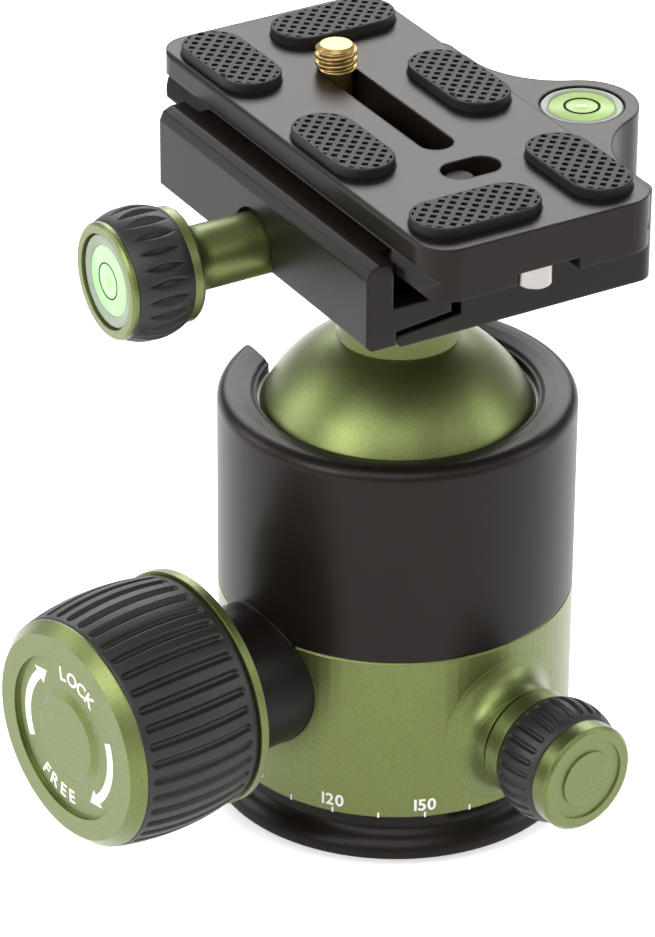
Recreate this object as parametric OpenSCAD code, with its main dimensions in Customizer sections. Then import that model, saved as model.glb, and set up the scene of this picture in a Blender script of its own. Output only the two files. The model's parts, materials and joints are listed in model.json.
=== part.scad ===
// Tripod ball head with a screw-jaw clamp and a quick-release plate.
// Origin: centre of the base's underside. +Z up. Main knob on -X, panning knob on -Y, drop notch on +Y.
// The head (clamp and plate) has its own frame: L along the plate, W across it, turned about Z.

/* [Base and dial] */
// How far the flange stands out past the dial
flange_overhang = 1.2; // [0.8:0.1:3]
// How far the neck above the flange stands back from the dial
neck_setback = 1.6; // [1:0.1:2.4]
// Height of the base plate
base_h = 7.7; // [7:0.1:10]
// Radius of the threaded tripod socket
socket_r = 4.76; // [3:0.01:5]
// Depth of the tripod socket
socket_depth = 12; // [8:0.5:13]
// Thickness of the thrust washer under the housing
washer_t = 0.5; // [0.3:0.1:1]

/* [Housing] */
// Wall of the housing around the bearing block
housing_wall = 4.15; // [3.7:0.05:5]
// Height of the top of the green dial sleeve
sleeve_top = 35.9; // [34:0.1:38]
// Height of the crest of the housing's rim
rim_top = 68; // [67.5:0.1:68.5]
// How far the rim's mouth closes in over the ball
mouth_hold = 1.57; // [0.9:0.01:1.8]
// Half width of the drop notch
notch_half = 9.9; // [9.6:0.1:11]
// Thickness of the dial sleeve's wall
sleeve_t = 2.95; // [2:0.05:3.2]

/* [Ball and stem] */
// Radius of the ball
ball_r = 22.67; // [22.4:0.01:22.7]
// Height of the ball's centre
ball_z = 56.1; // [55.8:0.1:56.6]
// Radius of the stem
stem_r = 9.34; // [7:0.01:9.5]
// Length of the stem from the ball's centre to the clamp
stem_len = 37; // [34:0.1:45]

/* [Main knob] */
// Height of the main knob's axis
main_z = 29.9; // [29:0.1:31]
// Distance of the main knob's face from the body axis
main_face = 62.1; // [58:0.1:70]
// Distance of the rear collar's back from the body axis
main_back = 38.5; // [38.2:0.1:42]
// Radius of the rear collar
main_collar_r = 18.3; // [16:0.1:20]
// Radius of the front cap
main_cap_r = 17.6; // [16.5:0.1:19]
// How far the main grip bulges out past the cap
main_bulge = 1.3; // [0.9:0.1:3]
// Number of grooves around the main grip
main_grooves = 40; // [12:1:48]
// Radius of the main screw
main_screw_r = 4; // [3:0.1:4.2]
// Radius of the boss behind the main knob
boss_r = 11.2; // [9:0.1:12]
// Height of the boss's centre
boss_z = 27.6; // [26:0.1:29]

/* [Panning knob] */
// Height of the panning knob's axis
pan_z = 21.1; // [20.8:0.1:21.4]
// Distance of the panning knob's face from the body axis
pan_face = 45.4; // [42:0.1:52]
// Distance of its rear collar from the body axis
pan_back = 31.7; // [29.5:0.1:34]
// Radius of the collar and the cap
pan_cap_r = 8.4; // [7.5:0.1:10]
// How far the panning knob's grip bulges out past the cap
pan_bulge = 1.2; // [0.8:0.1:2.5]
// Number of grooves around the panning knob's grip
pan_grooves = 28; // [8:1:32]
// Radius of the panning screw
pan_screw_r = 2.5; // [2:0.1:2.8]
// Radius of the green boss behind the panning knob
pan_boss_r = 8; // [7:0.1:9]
// Radius of the fillet between that boss and the dial sleeve
pan_boss_fillet = 4; // [2:0.1:4.5]

/* [Clamp] */
// Turn of the clamp and the plate about the body axis
head_turn = -8; // [-180:1:180]
// Length of the clamp
clamp_len = 60; // [50:1:70]
// Height of the clamp from its underside to its top
clamp_h = 13.65; // [13.4:0.05:15]
// Distance of the fixed side's outer face from the centre
fixed_face = 25.3; // [24.5:0.1:28]
// Distance of the jaw's outer face from the centre
jaw_face = 23.6; // [23.4:0.1:26]
// Distance of the level's centre from the clamp's centre
ear_w = 31.3; // [30:0.1:34]
// Radius of the round ear
ear_r = 8.5; // [8:0.1:10]
// Radius of the level in the ear
ear_level_r = 6.35; // [5:0.05:7]

/* [Clamp knob] */
// Place of the clamp knob's axis along the clamp
knob_l = -2.2; // [-4:0.1:4]
// Height of the clamp knob's axis above the clamp's underside
knob_up = 3.5; // [3.3:0.1:4]
// Distance of the clamp knob's face from the clamp's centre
knob_face = 47.9; // [45:0.1:55]
// Radius of the clamp knob's front rim
knob_cap_r = 8.7; // [8:0.1:10]
// How far the clamp knob's grip bulges out past the rim
knob_bulge = 1.2; // [0.8:0.1:2.5]
// Number of grooves around the clamp knob's grip
knob_grooves = 24; // [8:1:30]
// Radius of the clamp knob's stem
knob_stem_r = 4.8; // [3.5:0.1:5.2]
// Radius of the clamp knob's screw
knob_screw_r = 2; // [1.5:0.1:2.4]
// Radius of the level in the clamp knob
knob_level_r = 7.1; // [5:0.1:7.4]

/* [Plate] */
// Length of the plate
plate_len = 80; // [70:1:100]
// Width of the plate
plate_w = 38; // [37.5:0.1:38.5]
// Thickness of the plate
plate_t = 8.15; // [7.6:0.05:10]
// Radius of the plate's corners
plate_corner = 5; // [2:0.5:7]
// Width of the camera screw's slot
slot_w = 5.3; // [5.1:0.1:6.5]
// Length of a rubber pad
pad_len = 20.3; // [14:0.1:21]
// Width of a rubber pad
pad_w = 9.7; // [7:0.1:10]
// Thickness of a rubber pad
pad_t = 1.5; // [0.8:0.1:2]
// Radius of the camera screw's thread
camera_thread_r = 3.175; // [3:0.005:4.8]
// Length of the camera screw above the plate
camera_len = 4.2; // [4:0.1:8]
// Place of the camera screw along the plate
camera_l = -18.7; // [-18.7:0.1:9]

/* [Clearances] */
// Radial clearance of a running fit
run = 0.05; // [0.02:0.01:0.08]
// Clearance between faces that slide past each other
slide_gap = 0.1; // [0.05:0.01:0.2]
// Gap between the jaw and the plate as the head stands
jaw_gap = 0.3; // [0.2:0.05:0.6]

/* [Hidden] */
$fn = 96;
far = 200;

// Colours
green = "#7d8c4a";
black = "#3a3634";
rubber = "#2a2625";
steel = "#b9b9b6";
brass = "#c9a050";
vial = "#a8d978";
plastic = "#d8d4c8";

// Radii that follow from the ball outwards
bore_r = ball_r + 0.18;
housing_r = bore_r + housing_wall;
flange_r = housing_r + flange_overhang;
base_neck_r = housing_r - neck_setback;
mouth_r = ball_r - mouth_hold;
ring_r = bore_r - 2.35;

// Base
foot_round = 1.9;
flange_round = 3;
flange_side_h = 2;
hub_r = 7;
socket_floor = 2;
hub_h = socket_depth + socket_floor;
spindle_neck_r = 12.5;
spindle_flange_r = 15.5;
base_screw_r = 1.5;
base_screw_ring = (hub_r + spindle_neck_r) / 2;
base_screw_head_r = 2.8;
base_screw_head_h = 3;
base_screw_sink = 3.3;
base_screw_reach = 7;
base_screw_top = base_h + base_screw_reach;

// Heights of the panning bearing
housing_bottom = base_h + washer_t + run;
ring_inset = 5.25;
ring_bottom = housing_bottom + ring_inset;
ring_t = 3.4;
ring_top = ring_bottom + ring_t;
spindle_flange_bottom = ring_top + slide_gap;
spindle_flange_t = 6.2;
spindle_top = spindle_flange_bottom + spindle_flange_t;
pocket_top = spindle_top + 0.15;
spindle_pocket_r = spindle_flange_r + slide_gap;
ring_screw_ring = (spindle_pocket_r + bore_r) / 2 - 1;
ring_screw_r = 1.25;
ring_screw_head_r = 2.2;
ring_screw_head_h = 1.6;
ring_screw_hold = 4.5;
washer_in = ring_r + 2.1;
washer_out = base_neck_r - 0.4;

// Housing
skirt_r = housing_r - sleeve_t - run;
block_r = bore_r - run;
block_top = ball_z - 12.1;
block_cup_r = ball_r + 0.63;
lip_t = 1.3;
mouth_drop = 1.1;
lip_bottom = rim_top - mouth_drop - lip_t;
pocket_r = housing_r - 2.8;
pocket_bottom = ball_z + 0.9;
rim_round = 1.9;
rim_crest_r = housing_r - 3.15;
rim_crest_drop = 0.2;
mouth_chamfer = 0.3;
sleeve_bottom = housing_bottom + run;
sleeve_chamfer = 0.3;
sleeve_edge = 0.5;
boss_root = 20;
boss_end = main_back - 0.8;
boss_clear = 0.05;
screw_bore_start = 15;
pan_boss_end = pan_back - 0.7;
pan_fillet_r = pan_boss_r + pan_boss_fillet;
pan_fillet_angle = asin(pan_fillet_r / (housing_r + pan_boss_fillet));
pan_fillet_d = (housing_r + pan_boss_fillet) * cos(pan_fillet_angle);

// Ball lock: a wedge under the lower seat
chamber_r = spindle_pocket_r;
chamber_floor_t = 2.15;
chamber_floor = pocket_top + chamber_floor_t;
seat_r = chamber_r - slide_gap;
seat_bottom = chamber_floor + 0.5;
seat_cup_r = ball_r + run;
wedge_r = 5.5;
wedge_bore_r = wedge_r + run;
wedge_out = 17;
wedge_in = -4;
wedge_slope = 0.25;
wedge_plane = main_z + 1.1;
wedge_tip_r = main_screw_r - 1;
wedge_tip_depth = 3.5;
wedge_room = 0.5;

// Main knob
main_grip_r = main_cap_r + main_bulge;
main_hub_r = main_cap_r - 2.6;
main_collar_t = 1.3;
main_cap_t = 2.1;
main_cap_chamfer = 1.8;
main_face_r = main_cap_r - 1.6;
face_ring_out = main_face_r - 3.2;
face_ring_in = 7.2;
face_ring_depth = 0.65;
face_disc_r = face_ring_in - 0.9;
main_screw_end = main_face - 10;
groove_r = 0.75;
groove_depth = 0.5;
groove_margin = 1.1;

// Panning knob
pan_collar_t = 2.7;
pan_cap_t = 2.8;
pan_cap_chamfer = 0.5;
pan_grip_r = pan_cap_r + pan_bulge;
pan_hub_r = pan_cap_r - 1.7;
pan_neck_r = pan_screw_r + 2;
pan_neck_back = pan_back - 0.3;
shoe_r = 2.9;
shoe_bore_r = shoe_r + run;
shoe_out = 20.5;
shoe_tip_r = pan_screw_r - 1;
shoe_tip_depth = 2.2;
pan_face_recess_r = 6.4;
pan_face_groove_r = 4.5;

// Stem
stem_foot_chamfer = 0.35;
stem_foot_z = ball_z + sqrt(ball_r * ball_r - stem_r * stem_r);

// Clamp, in the head's frame; heights are from the base's underside
clamp_bottom = ball_z + stem_len;
clamp_top = clamp_bottom + clamp_h;
plate_bottom = clamp_top - 2.75;
plate_top = plate_bottom + plate_t;
floor_z = plate_bottom - 4.5;
half_plate = plate_w / 2;
flange_edge = 1;
groove_z = plate_bottom + flange_edge + 1.9;
groove_in = half_plate - 1.9;
slab_bottom = groove_z + 1.8;
inner_face = half_plate + slide_gap;
jaw_inner = half_plate + jaw_gap;
block_z = plate_bottom - slide_gap;
lip_len = clamp_len - 8;
jaw_bottom = clamp_bottom + 0.5;
jaw_chamfer = 1.95;
tongue_end = 9.7;
block_face = 8;
lip_nose = half_plate - 0.5;
lip_top_out = clamp_bottom + 2.1;
lip_rise = 1.1;
tongue_gap = 0.5;
clamp_corner = 3;
ear_fillet = 15.4;
ear_level_depth = 5.2;
clamp_screw_r = 2.5;
clamp_screw_head_r = 4.3;
clamp_screw_head_h = 3.5;
clamp_seat_z = clamp_bottom + 4;
clamp_screw_len = 13;
guide_pin_r = 1.2;
guide_pin_l = 20;
guide_pin_z = floor_z - 1.5;
guide_pin_in = 2;
guide_pin_out = 18;

// Clamp knob, distances are along -W
knob_z = clamp_bottom + knob_up;
knob_recess_r = knob_stem_r + 0.7;
knob_recess = 1.9;
knob_seat = jaw_face - knob_recess;
knob_grip_r = knob_cap_r + knob_bulge;
knob_cap_t = 1;
knob_ring_t = 1.3;
knob_grip_len = 9.1;
knob_ring_back = knob_face - knob_cap_t - knob_grip_len - knob_ring_t;
knob_flare = 4;
knob_hub_r = knob_level_r + 0.6;
knob_screw_tip = 5.2;
knob_screw_bore_end = knob_screw_tip - 0.4;
knob_level_depth = 4.9;
knob_level_sink = 0.5;

// Plate
plate_chamfer = 0.5;
end_recess = 10.4;
end_recess_h = 1.8;
end_recess_len = 8;
stop_pin_r = 2.65;
stop_pin_l = plate_len / 2 - 3.9;
stop_pin_bottom = plate_bottom - 2.4;
stop_pin_root = 3;
slot_right = 12;
camera_neck_r = slot_w / 2 - 0.2;
slot_end_l = -18.7;
slot_left = slot_end_l - camera_neck_r - 0.35;
head_r = 5.5;
head_room = 3;
head_h = 2;
head_recess_r = head_r + slide_gap;
camera_washer_t = 0.5;
hole_l = 19;
hole_len = 9.3;
hole_w = 5.5;
index_r = hole_w / 2 - 0.15;
index_w = -(hole_len - hole_w) / 2;
index_flange_r = 3;
index_sink = 1;
pad_sink = 0.4;
pads = [[-32, 7.3, 90], [32, -7.3, 90], [-27.3, -12.9, 0], [27.3, 12.9, 0], [5.1, -12.9, 0], [-5.1, 12.9, 0]];

// ---- shapes and places ----

function arc_points(c, r, a0, a1, n = 8) = [for (i = [0:n]) c + r * [cos(a0 + (a1 - a0) * i / n), sin(a0 + (a1 - a0) * i / n)]];

module disc(r, z0, z1) translate([0, 0, z0]) cylinder(r = r, h = z1 - z0);

module ring(r_out, r_in, z0, z1) difference() {
    disc(r_out, z0, z1);
    disc(r_in, z0 - 1, z1 + 1);
}

module at_main() translate([0, 0, main_z]) rotate([0, -90, 0]) children();

module at_pan() translate([0, 0, pan_z]) rotate([90, 0, 0]) children();

module at_head() rotate([0, 0, head_turn - 90]) children();

module at_clamp_knob() at_head() translate([knob_l, 0, knob_z]) rotate([90, 0, 0]) children();

module around(count, radius, start = 0)
    for (i = [0:count - 1]) rotate([0, 0, start + i * 360 / count]) translate([radius, 0, 0]) children();

// A section drawn in (W, height) and run along L
module along_l(len) translate([-len / 2, 0, 0]) rotate([90, 0, 90]) linear_extrude(len) children();

module rounded_plan(len, width, r, z0, z1) translate([0, 0, z0]) linear_extrude(z1 - z0) {
    square([len - 2 * r, width], center = true);
    square([len, width - 2 * r], center = true);
    for (x = [-1, 1], y = [-1, 1]) translate([x * (len / 2 - r), y * (width / 2 - r)]) circle(r);
}

// Obround prism along X, len from end to end
module obround(len, width, z0, z1) translate([0, 0, z0]) linear_extrude(z1 - z0) {
    square([len - width, width], center = true);
    for (x = [-1, 1]) translate([x * (len - width) / 2, 0]) circle(width / 2);
}

// Barrel sleeve of a knob. Its grooves follow the bulge, or run out in a flatter arc where they are short
module barrel_grip(r_in, r_end, r_mid, z0, z1, grooves, run_out) {
    half = (z1 - z0) / 2;
    rise = r_mid - r_end;
    bulge = (half * half + rise * rise) / (2 * rise);
    reach = half - groove_margin;
    groove_arc = run_out ? 1 / max(0.002, 1 / bulge - 2 * groove_depth / (reach * reach)) : bulge;
    sweep = asin((run_out ? half : reach) / groove_arc);
    difference() {
        rotate_extrude() intersection() {
            translate([r_in, z0]) square([r_mid, z1 - z0]);
            translate([r_mid - bulge, z0 + half]) circle(bulge, $fn = 360);
        }
        around(grooves, r_mid - groove_arc) translate([0, 0, z0 + half]) rotate([90, 0, 0]) rotate([0, 0, -sweep])
            rotate_extrude(angle = 2 * sweep) translate([groove_arc + groove_r - groove_depth, 0])
                circle(groove_r, $fn = 24);
    }
}

// ---- base ----

module base_screw_places() for (i = [0:2]) rotate([0, 0, i * 120 + 90]) translate([base_screw_ring, 0, 0]) children();

module base_plate() color(black) difference() {
    union() {
        rotate_extrude() polygon(concat([[0, 0]],
            arc_points([flange_r - foot_round, foot_round], foot_round, 270, 360),
            arc_points([flange_r - flange_round, flange_side_h], flange_round, 0, 68),
            [[base_neck_r + 0.25, flange_side_h + flange_round + 0.4], [base_neck_r, flange_side_h + flange_round + 1],
                [base_neck_r, base_h], [0, base_h]]));
        disc(hub_r, 0, hub_h);
    }
    disc(socket_r, -1, socket_depth);
    base_screw_places() {
        disc(base_screw_head_r + slide_gap, -1, base_screw_sink);
        disc(base_screw_r + slide_gap, -1, base_h + 1);
    }
}

module spindle() color(steel) difference() {
    union() {
        disc(spindle_neck_r, base_h, spindle_top);
        disc(spindle_flange_r, spindle_flange_bottom, spindle_top);
    }
    disc(hub_r + run, base_h - 1, hub_h + slide_gap);
    base_screw_places() disc(base_screw_r, base_h - 1, base_screw_top + slide_gap);
}

module base_screws() color(steel) base_screw_places() {
    disc(base_screw_r, base_screw_sink - 0.1, base_screw_top);
    difference() {
        disc(base_screw_head_r, base_screw_sink - base_screw_head_h, base_screw_sink);
        translate([0, 0, base_screw_sink - base_screw_head_h - 1]) cylinder(r = 1.45, h = 2.6, $fn = 6);
    }
}

module thrust_washer() color(plastic) ring(washer_out, washer_in, base_h, base_h + washer_t);

// ---- housing ----

module notch_cut() {
    translate([-notch_half, 10, ball_z]) cube([2 * notch_half, far, far]);
    translate([0, 10, ball_z]) rotate([-90, 0, 0]) cylinder(r = notch_half, h = far);
}

// The round boss of the main knob, from distance d0 to d1
module boss_outline(r, d0, d1) at_main() translate([boss_z - main_z, 0, d0]) cylinder(r = r, h = d1 - d0);

module ball_housing() color(black) difference() {
    union() {
        rotate_extrude() polygon(concat([[0, sleeve_top], [housing_r, sleeve_top]],
            arc_points([housing_r - rim_round, rim_top - rim_round], rim_round, 0, 90),
            [[rim_crest_r, rim_top - rim_crest_drop],
                [mouth_r + 3 * mouth_chamfer, rim_top - mouth_drop + 1.5 * mouth_chamfer],
                [mouth_r + mouth_chamfer, rim_top - mouth_drop], [0, rim_top - mouth_drop]]));
        disc(skirt_r, housing_bottom, sleeve_top + 1);
        boss_outline(boss_r, boss_root, boss_end);
    }
    disc(bore_r, housing_bottom - 1, pocket_bottom + 1);
    disc(pocket_r, pocket_bottom, lip_bottom);
    disc(mouth_r, lip_bottom - 1, far);
    at_main() disc(main_screw_r + run, screw_bore_start, far);
    at_pan() disc(pan_screw_r + run, screw_bore_start, far);
    notch_cut();
}

module ring_screw_places() around(4, ring_screw_ring, 45) children();

module lower_block() color(steel) difference() {
    disc(block_r, housing_bottom, block_top);
    disc(ring_r + run, housing_bottom - 1, ring_top);
    disc(spindle_pocket_r, housing_bottom, pocket_top);
    disc(chamber_r, chamber_floor, far);
    translate([0, 0, ball_z]) sphere(block_cup_r);
    at_main() disc(wedge_bore_r, wedge_in - wedge_room, far);
    at_pan() disc(shoe_bore_r, spindle_pocket_r - 1, far);
    ring_screw_places() disc(ring_screw_r, ring_top - 1, ring_top + ring_screw_hold + 0.5);
}

module dial_sleeve() color(green) difference() {
    union() {
        rotate_extrude() polygon([[skirt_r + run, sleeve_bottom], [housing_r - sleeve_chamfer, sleeve_bottom],
            [housing_r, sleeve_bottom + sleeve_chamfer], [housing_r, sleeve_top - sleeve_edge],
            [housing_r - sleeve_edge, sleeve_top], [skirt_r + run, sleeve_top]]);
        difference() {
            at_pan() rotate_extrude() polygon(concat([[0, pan_boss_end], [0, skirt_r - 4]],
                [[pan_fillet_r - pan_boss_fillet * sin(pan_fillet_angle), skirt_r - 4]],
                arc_points([pan_fillet_r, pan_fillet_d], pan_boss_fillet, 270 - pan_fillet_angle, 180, 10),
                [[pan_boss_r, pan_boss_end]]));
            disc(skirt_r + run, 0, far);
        }
    }
    boss_outline(boss_r + boss_clear, screw_bore_start, far);
    at_pan() disc(pan_screw_r + slide_gap, screw_bore_start, far);
}

module upper_seat() color(plastic) difference() {
    disc(pocket_r - run, pocket_bottom + run, lip_bottom - run);
    translate([0, 0, ball_z]) sphere(seat_cup_r);
    notch_cut();
}

module retaining_ring() color(steel) difference() {
    ring(ring_r, spindle_neck_r + 0.07, ring_bottom, ring_top);
    ring_screw_places() {
        disc(ring_screw_r + slide_gap, ring_bottom - 1, ring_top + 1);
        disc(ring_screw_head_r + slide_gap, ring_bottom - 1, ring_bottom + ring_screw_head_h);
    }
}

module ring_screws() color(steel) ring_screw_places() {
    disc(ring_screw_r, ring_bottom + 0.2, ring_top + ring_screw_hold);
    difference() {
        disc(ring_screw_head_r, ring_bottom, ring_bottom + ring_screw_head_h);
        translate([0, 0, ring_bottom - 1]) cylinder(r = 1.1, h = 2, $fn = 6);
    }
}

// ---- ball lock ----

// Everything above the wedge's sloping face
module wedge_roof(gap) translate([0, 0, wedge_plane + gap]) rotate([0, atan(wedge_slope), 0])
    translate([-far / 2, -far / 2, 0]) cube([far, far, far]);

module wedge() color(steel) difference() {
    at_main() disc(wedge_r, wedge_in, wedge_out);
    wedge_roof(0);
    at_main() disc(wedge_tip_r + run, wedge_out - wedge_tip_depth - slide_gap, far);
}

module lower_seat() color(plastic) difference() {
    disc(seat_r, seat_bottom, ball_z);
    translate([0, 0, ball_z]) sphere(seat_cup_r);
    difference() {
        translate([-far / 2, -wedge_bore_r - slide_gap, 0]) cube([far, 2 * (wedge_bore_r + slide_gap), ball_z]);
        wedge_roof(run);
    }
}

// ---- main knob ----

module main_knob_core() color(green) at_main() difference() {
    union() {
        disc(main_collar_r, main_back, main_back + main_collar_t);
        disc(main_hub_r, main_back, main_face - 1);
        rotate_extrude() polygon([[0, main_face - main_cap_t], [main_cap_r, main_face - main_cap_t],
            [main_cap_r, main_face - main_cap_chamfer], [main_face_r, main_face], [0, main_face]]);
    }
    rotate_extrude() polygon([[face_ring_in + 0.2, main_face - face_ring_depth],
        [face_ring_out, main_face - face_ring_depth], [face_ring_out, main_face + 1],
        [face_disc_r, main_face + 1], [face_disc_r, main_face]]);
    disc(main_screw_r, main_back - 1, main_screw_end);
}

module main_knob_grip() color(rubber) at_main()
    barrel_grip(main_hub_r, main_cap_r + 0.1, main_grip_r, main_back + main_collar_t, main_face - main_cap_t, main_grooves,
        false);

module main_screw() color(steel) at_main() {
    disc(main_screw_r, wedge_out + run, main_screw_end);
    disc(wedge_tip_r, wedge_out - wedge_tip_depth, wedge_out + 1);
}

// ---- panning knob ----

module pan_shoe() color(brass) difference() {
    at_pan() disc(shoe_r, 0, shoe_out);
    disc(spindle_pocket_r, 0, far);
    at_pan() disc(shoe_tip_r + run, shoe_out - shoe_tip_depth - slide_gap, far);
}

module pan_knob_core() color(green) at_pan() difference() {
    union() {
        disc(pan_neck_r, pan_neck_back, pan_back + 1);
        disc(pan_cap_r, pan_back, pan_back + pan_collar_t);
        disc(pan_hub_r, pan_back, pan_face - 1);
        rotate_extrude() polygon([[0, pan_face - pan_cap_t], [pan_cap_r, pan_face - pan_cap_t],
            [pan_cap_r, pan_face - pan_cap_chamfer], [pan_cap_r - pan_cap_chamfer, pan_face], [0, pan_face]]);
    }
    ring(pan_face_recess_r, pan_face_groove_r, pan_face - 0.3, pan_face + 1);
    disc(pan_screw_r, pan_neck_back - 1, pan_face - 6);
}

module pan_knob_grip() color(rubber) at_pan()
    barrel_grip(pan_hub_r, pan_cap_r, pan_grip_r, pan_back + pan_collar_t, pan_face - pan_cap_t, pan_grooves, true);

module pan_screw() color(steel) at_pan() {
    disc(pan_screw_r, shoe_out + run, pan_face - 6);
    disc(shoe_tip_r, shoe_out - shoe_tip_depth, shoe_out + 1);
}

// ---- ball and stem ----

module ball() color(black) translate([0, 0, ball_z]) sphere(ball_r);

module stem() color(black) difference() {
    rotate_extrude() polygon([[0, ball_z + ball_r / 2], [stem_r - stem_foot_chamfer, ball_z + ball_r / 2],
        [stem_r - stem_foot_chamfer, stem_foot_z], [stem_r, stem_foot_z + stem_foot_chamfer],
        [stem_r, clamp_bottom], [0, clamp_bottom]]);
    translate([0, 0, ball_z]) sphere(ball_r + run);
    disc(clamp_screw_r + run, clamp_bottom - clamp_screw_len, far);
}

// ---- clamp ----

// 45 degree lip over the plate's flange: the outline in (W, height), for a face at w0
function lip_points(w0) = [[w0, plate_bottom + flange_edge - 0.1], [w0 - 1.85, plate_bottom + flange_edge + 1.75],
    [w0 - 1.6, clamp_top]];

module fixed_section() polygon(concat(
    arc_points([-lip_nose + 0.9, clamp_bottom + 0.9], 0.9, 270, 180, 4),
    arc_points([-lip_nose + 0.7, lip_top_out - 0.7], 0.7, 180, 90, 4),
    [[-block_face, lip_top_out + lip_rise], [-block_face, block_z], [inner_face, block_z]],
    lip_points(inner_face),
    [[fixed_face, clamp_top], [fixed_face, clamp_bottom]]));

// The ear's outline: a round end that runs into the clamp's face in two concave fillets
module ear_plan() {
    rise = ear_w - fixed_face;
    reach = sqrt(pow(ear_fillet + ear_r, 2) - pow(ear_fillet - rise, 2));
    tangent_w = ear_w + ear_r * (ear_fillet - rise) / (ear_fillet + ear_r);
    translate([0, ear_w]) circle(ear_r);
    difference() {
        translate([-reach, fixed_face - 1]) square([2 * reach, tangent_w - fixed_face + 1]);
        for (side = [-1, 1]) translate([side * reach, fixed_face + ear_fillet]) circle(ear_fillet);
    }
}

module clamp_base() color(black) at_head() difference() {
    union() {
        intersection() {
            along_l(clamp_len) fixed_section();
            rounded_plan(clamp_len, 2 * fixed_face, clamp_corner, clamp_bottom - 1, clamp_top + 1);
        }
        translate([0, 0, clamp_bottom]) linear_extrude(clamp_h) ear_plan();
    }
    for (side = [-1, 1]) translate([side * (lip_len / 2 + far / 2) - far / 2, 0, block_z]) cube([far, inner_face, far]);
    translate([0, ear_w, 0]) disc(ear_level_r + run, clamp_top - ear_level_depth, far);
    disc(clamp_screw_r, clamp_bottom - 1, far);
    disc(clamp_screw_head_r + slide_gap, clamp_seat_z, far);
    translate([knob_l, 0, knob_z]) rotate([90, 0, 0]) disc(knob_screw_r + run, knob_screw_bore_end, block_face + 1);
    translate([knob_l, 0, knob_z]) rotate([90, 0, 0]) disc(knob_screw_r + 0.4, block_face, far);
    for (side = [-1, 1]) translate([side * guide_pin_l, 0, guide_pin_z]) rotate([90, 0, 0])
        disc(guide_pin_r, guide_pin_in, block_face + 1);
}

module clamp_screw() color(steel) at_head() {
    disc(clamp_screw_r, clamp_bottom - clamp_screw_len + 1, clamp_seat_z + 0.5);
    difference() {
        disc(clamp_screw_head_r, clamp_seat_z, clamp_seat_z + clamp_screw_head_h);
        translate([0, 0, clamp_seat_z + 1]) cylinder(r = 2.3, h = 3, $fn = 6);
    }
}

module ear_level() color(vial) at_head() translate([0, ear_w, 0])
    disc(ear_level_r, clamp_top - ear_level_depth, clamp_top - 0.2);

module jaw_guide_pins() color(steel) at_head() for (side = [-1, 1])
    translate([side * guide_pin_l, 0, guide_pin_z]) rotate([90, 0, 0]) disc(guide_pin_r, guide_pin_in, guide_pin_out);

module jaw_section() mirror([1, 0]) polygon(concat(
    [[jaw_face, jaw_bottom + 0.8], [jaw_face, clamp_top - jaw_chamfer], [jaw_face - 0.6, clamp_top - 0.6],
        [jaw_face - jaw_chamfer, clamp_top]],
    [for (i = [2:-1:0]) lip_points(jaw_inner)[i]],
    [[jaw_inner, floor_z], [tongue_end, floor_z],
        [tongue_end, lip_top_out + lip_rise + tongue_gap - 0.15], [lip_nose + 0.3, lip_top_out + tongue_gap],
        [lip_nose + 0.3, jaw_bottom], [jaw_face - 0.8, jaw_bottom]]));

module jaw() color(black) at_head() difference() {
    along_l(clamp_len) jaw_section();
    for (side = [-1, 1]) translate([side * (lip_len / 2 + far / 2) - far / 2, -jaw_inner, floor_z]) cube([far, far, far]);
    translate([knob_l, 0, knob_z]) rotate([90, 0, 0]) {
        disc(knob_screw_r + run, lip_nose, far);
        disc(knob_screw_r + 0.4, 0, lip_nose + 0.35);
        disc(knob_recess_r, knob_seat, far);
    }
    translate([knob_l - knob_recess_r, -far - knob_seat, 0]) cube([2 * knob_recess_r, far, knob_z]);
    for (side = [-1, 1]) translate([side * guide_pin_l, 0, guide_pin_z]) rotate([90, 0, 0])
        disc(guide_pin_r + run, 0, guide_pin_out + 3.5);
}

// ---- clamp knob ----

module clamp_knob_core() color(green) at_clamp_knob() difference() {
    union() {
        rotate_extrude() polygon(concat([[0, knob_seat + run], [knob_stem_r, knob_seat + run]],
            arc_points([knob_cap_r - 0.4, knob_ring_back - knob_flare], knob_cap_r - 0.4 - knob_stem_r, 180, 90),
            [[knob_cap_r - 0.1, knob_ring_back], [knob_cap_r - 0.1, knob_ring_back + knob_ring_t],
                [knob_hub_r, knob_ring_back + knob_ring_t], [knob_hub_r, knob_face - knob_cap_t],
                [knob_cap_r, knob_face - knob_cap_t], [knob_cap_r, knob_face - 0.4],
                [knob_cap_r - 0.4, knob_face], [0, knob_face]]));
    }
    disc(knob_level_r + run, knob_face - knob_level_sink - knob_level_depth, far);
    disc(knob_screw_r, 0, knob_ring_back);
}

module clamp_knob_grip() color(rubber) at_clamp_knob()
    barrel_grip(knob_hub_r, knob_cap_r, knob_grip_r, knob_ring_back + knob_ring_t, knob_face - knob_cap_t, knob_grooves,
        true);

module clamp_knob_screw() color(steel) at_clamp_knob() disc(knob_screw_r, knob_screw_tip, knob_ring_back);

module knob_level() color(vial) at_clamp_knob()
    disc(knob_level_r, knob_face - knob_level_sink - knob_level_depth, knob_face - knob_level_sink);

// ---- plate ----

module plate_section() {
    side = [[half_plate - flange_edge, plate_bottom], [half_plate, plate_bottom + flange_edge],
        [groove_in, groove_z], [groove_in, groove_z + 0.2], [half_plate, slab_bottom],
        [half_plate, plate_top - plate_chamfer], [half_plate - plate_chamfer, plate_top]];
    polygon(concat(side, [for (i = [len(side) - 1:-1:0]) [-side[i][0], side[i][1]]]));
}

module pad_places() for (p = pads) translate([p[0], p[1], 0]) rotate([0, 0, p[2]]) children();

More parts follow.
